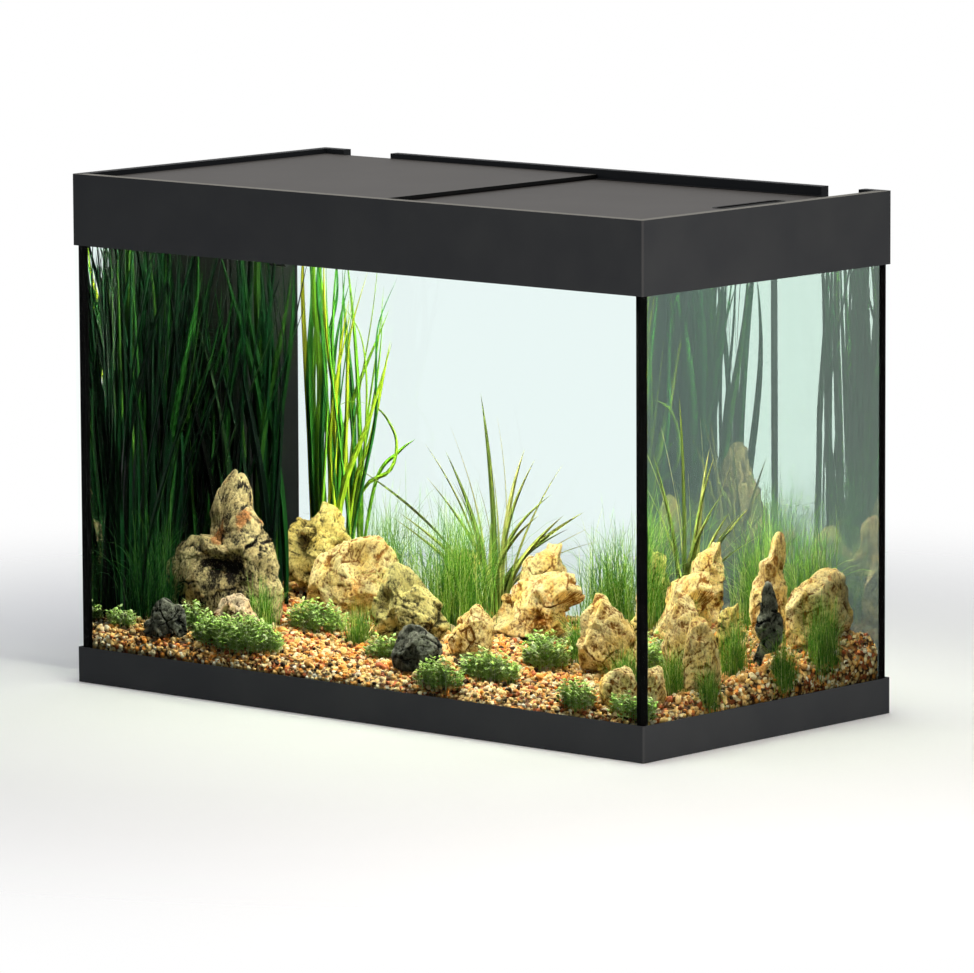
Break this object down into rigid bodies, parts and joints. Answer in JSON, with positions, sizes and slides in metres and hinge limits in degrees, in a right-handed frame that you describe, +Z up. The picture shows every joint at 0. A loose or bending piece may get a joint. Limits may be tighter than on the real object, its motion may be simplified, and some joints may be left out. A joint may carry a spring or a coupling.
{
  "type": "aquarium",
  "caption": "Planted glass aquarium in a dark mitred frame, with sliding covers, light bars, an inner filter with pump and heater, gravel, rocks and water plants.",
  "frame": {"origin": "on the floor under the middle of the tank", "axes": "+X to the right along the front pane, +Y to the back, +Z up"},
  "size_m": [0.814, 0.407, 0.56],
  "materials": {
    "tank_glass": "clear float glass with polished edges",
    "black_silicone": "black silicone, satin",
    "frame_board": "anthracite laminate, fine matt",
    "glide_rubber": "matt",
    "key_aluminium": "extruded, satin",
    "screw_steel": "zinc plated",
    "rail_plastic": "extruded, satin",
    "cover_plate": "warm grey, fine matt",
    "grip_plastic": "moulded, satin",
    "light_aluminium": "anodised",
    "light_lens": "opal",
    "light_plastic": "moulded",
    "filter_plastic": "moulded, satin",
    "coarse_foam": "open-cell foam",
    "fine_foam": "fine open-cell foam",
    "pump_plastic": "moulded",
    "rotor_plastic": "moulded",
    "shaft_ceramic": "ground",
    "heater_glass": "clear",
    "dial_plastic": "moulded",
    "gravel": "mixed river gravel",
    "rock": "rough ochre limestone",
    "dark_leaf": "soft strap leaf",
    "bright_leaf": "soft strap leaf",
    "grass_leaf": "fine grass blades",
    "carpet_leaf": "small round leaves"
  },
  "bodies": {
    "tank": {"bottom_pane": "tank_glass", "front_pane": "tank_glass", "rear_pane": "tank_glass", "left_pane": "tank_glass", "right_pane": "tank_glass", "corner_seals": "black_silicone", "floor_seals": "black_silicone", "base_front_board": "frame_board", "base_rear_board": "frame_board", "base_left_board": "frame_board", "base_right_board": "frame_board", "base_corner_keys": "key_aluminium", "base_key_screws": "screw_steel", "glide_pads": "glide_rubber", "top_front_board": "frame_board", "top_rear_board": "frame_board", "top_left_board": "frame_board", "top_right_board": "frame_board", "top_corner_keys": "key_aluminium", "top_key_screws": "screw_steel", "front_cover_rail": "rail_plastic", "rear_cover_rail": "rail_plastic", "rail_screws": "screw_steel", "light_housings": "light_aluminium", "light_diffusers": "light_lens", "light_end_caps": "light_plastic", "light_clips": "light_plastic", "filter_housing": "filter_plastic", "intake_grille": "filter_plastic", "filter_lid": "filter_plastic", "glue_pads": "black_silicone", "coarse_foam": "coarse_foam", "fine_foam": "fine_foam", "pump_body": "pump_plastic", "impeller_cover": "pump_plastic", "impeller_shaft": "shaft_ceramic", "outlet_pipe": "pump_plastic", "heater_tube": "heater_glass", "heater_head": "pump_plastic", "gravel_bed": "gravel", "left_rock": "rock", "middle_rocks": "rock", "right_rocks": "rock", "side_rocks": "rock", "small_rocks": "rock", "dark_leaves_front": "dark_leaf", "dark_leaves_side": "dark_leaf", "bright_leaves": "bright_leaf", "sword_plant": "bright_leaf", "hairgrass": "grass_leaf", "carpet_plants": "carpet_leaf"},
    "left_cover": {"left_cover": "cover_plate"},
    "right_cover": {"right_cover": "cover_plate", "finger_grip": "grip_plastic"},
    "impeller": {"impeller": "rotor_plastic"},
    "outlet_nozzle": {"outlet_nozzle": "pump_plastic"},
    "heater_dial": {"heater_dial": "dial_plastic"}
  },
  "joints": [
    {"name": "left_cover_slide", "type": "slide", "parent": "tank", "child": "left_cover", "axis": [1, 0, 0], "range_m": [0, 0.38]},
    {"name": "right_cover_slide", "type": "slide", "parent": "tank", "child": "right_cover", "axis": [1, 0, 0], "range_m": [-0.38, 0]},
    {"name": "impeller_spin", "type": "hinge", "parent": "tank", "child": "impeller", "pos_m": [-0.336, 0.124, 0.44], "axis": [0, 0, 1], "continuous": true},
    {"name": "nozzle_swivel", "type": "hinge", "parent": "tank", "child": "outlet_nozzle", "pos_m": [-0.297, 0.124, 0.459], "axis": [1, 0, 0], "range_deg": [-40, 40]},
    {"name": "heater_dial_turn", "type": "hinge", "parent": "tank", "child": "heater_dial", "pos_m": [-0.3535, 0.168, 0.509], "axis": [0, 0, 1], "range_deg": [-135, 135]}
  ]
}
